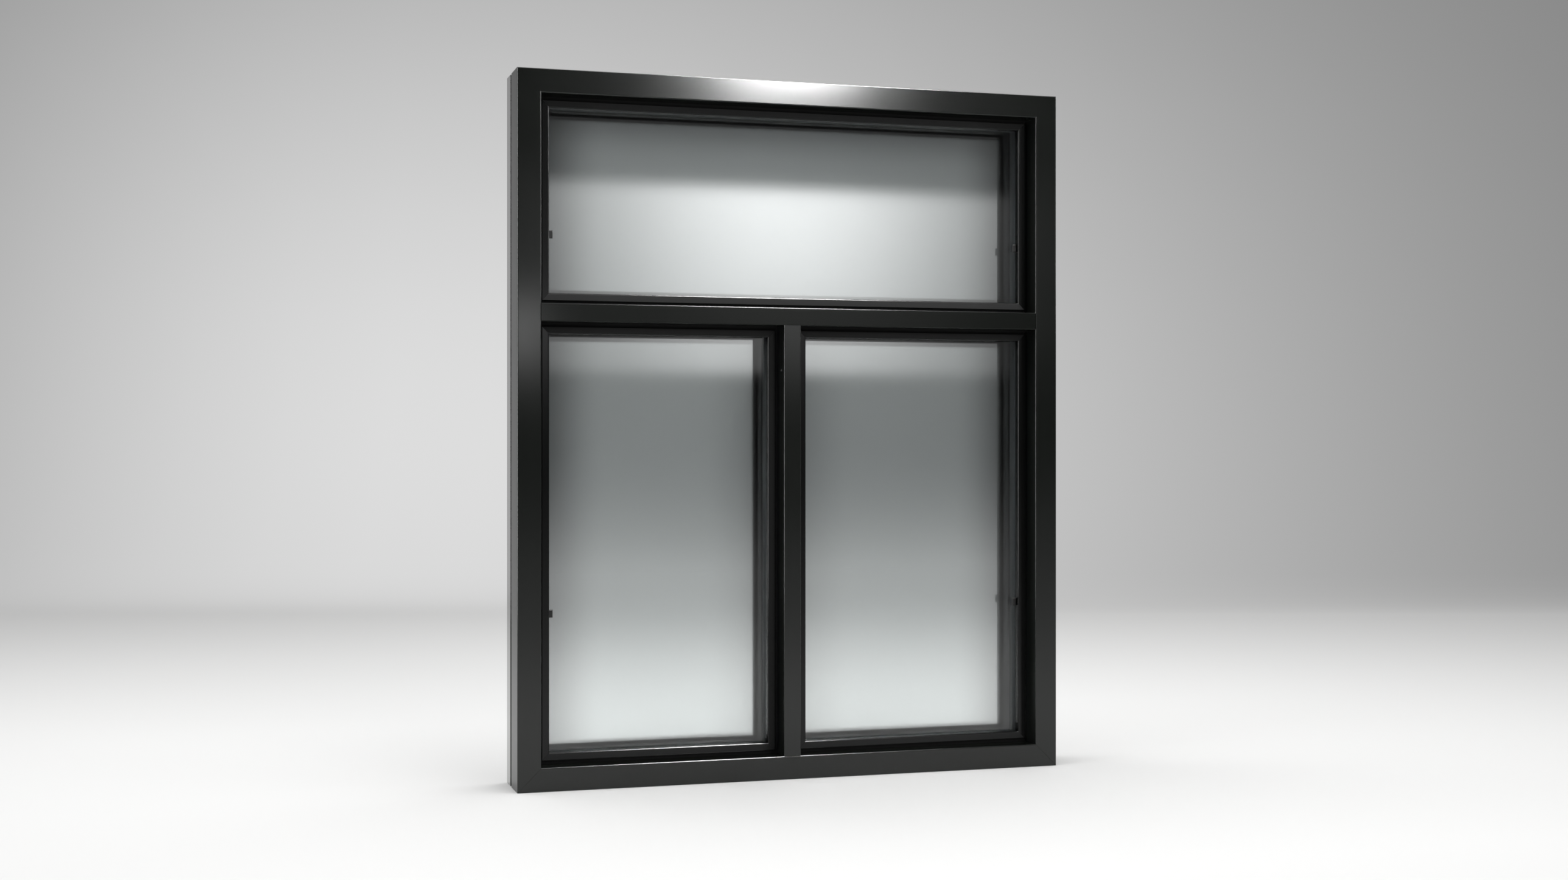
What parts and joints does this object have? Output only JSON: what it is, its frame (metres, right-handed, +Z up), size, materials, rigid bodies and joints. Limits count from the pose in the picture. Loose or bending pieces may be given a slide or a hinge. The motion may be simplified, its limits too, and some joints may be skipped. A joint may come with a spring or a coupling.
{
  "type": "explosion-proof window",
  "caption": "Deep black steel blast-resistant window: a wide fixed light over lower side-by-side lights, double glazed behind stepped beads, standing on its sill.",
  "frame": {"origin": "middle of the underside of the frame, where it stands on its sill", "axes": "+Z up along the height, +X along the width, -Y out of the front face, +Y out of the rear face"},
  "size_m": [1.212, 0.14, 1.5],
  "materials": {
    "frame_coating": "satin black powder coat on steel",
    "bead_coating": "satin black powder coat on steel",
    "liner_coating": "matt dark grey coat on steel",
    "seal_rubber": "matt black rubber",
    "gasket_rubber": "matt black rubber",
    "clear_glass": "clear polished laminated glass",
    "frosted_glass": "satin frosted laminated glass",
    "clip_plastic": "matt black plastic"
  },
  "bodies": {
    "root": {"front_head": "frame_coating", "front_sill": "frame_coating", "front_left_jamb": "frame_coating", "front_right_jamb": "frame_coating", "front_transom": "frame_coating", "front_mullion": "frame_coating", "rear_head": "frame_coating", "rear_sill": "frame_coating", "rear_left_jamb": "frame_coating", "rear_right_jamb": "frame_coating", "rear_transom": "frame_coating", "rear_mullion": "frame_coating", "frame_seal": "seal_rubber", "upper_bottom_bead": "bead_coating", "upper_right_bead": "bead_coating", "upper_top_bead": "bead_coating", "upper_left_bead": "bead_coating", "upper_front_gasket": "gasket_rubber", "upper_front_pane": "clear_glass", "upper_cavity_liner": "liner_coating", "upper_rear_gasket": "gasket_rubber", "upper_rear_pane": "frosted_glass", "upper_rear_bead": "bead_coating", "lower_left_bottom_bead": "bead_coating", "lower_left_right_bead": "bead_coating", "lower_left_top_bead": "bead_coating", "lower_left_left_bead": "bead_coating", "lower_left_front_gasket": "gasket_rubber", "lower_left_front_pane": "clear_glass", "lower_left_cavity_liner": "liner_coating", "lower_left_rear_gasket": "gasket_rubber", "lower_left_rear_pane": "frosted_glass", "lower_left_rear_bead": "bead_coating", "lower_right_bottom_bead": "bead_coating", "lower_right_right_bead": "bead_coating", "lower_right_top_bead": "bead_coating", "lower_right_left_bead": "bead_coating", "lower_right_front_gasket": "gasket_rubber", "lower_right_front_pane": "clear_glass", "lower_right_cavity_liner": "liner_coating", "lower_right_rear_gasket": "gasket_rubber", "lower_right_rear_pane": "frosted_glass", "lower_right_rear_bead": "bead_coating", "glazing_clips": "clip_plastic"}
  },
  "joints": []
}
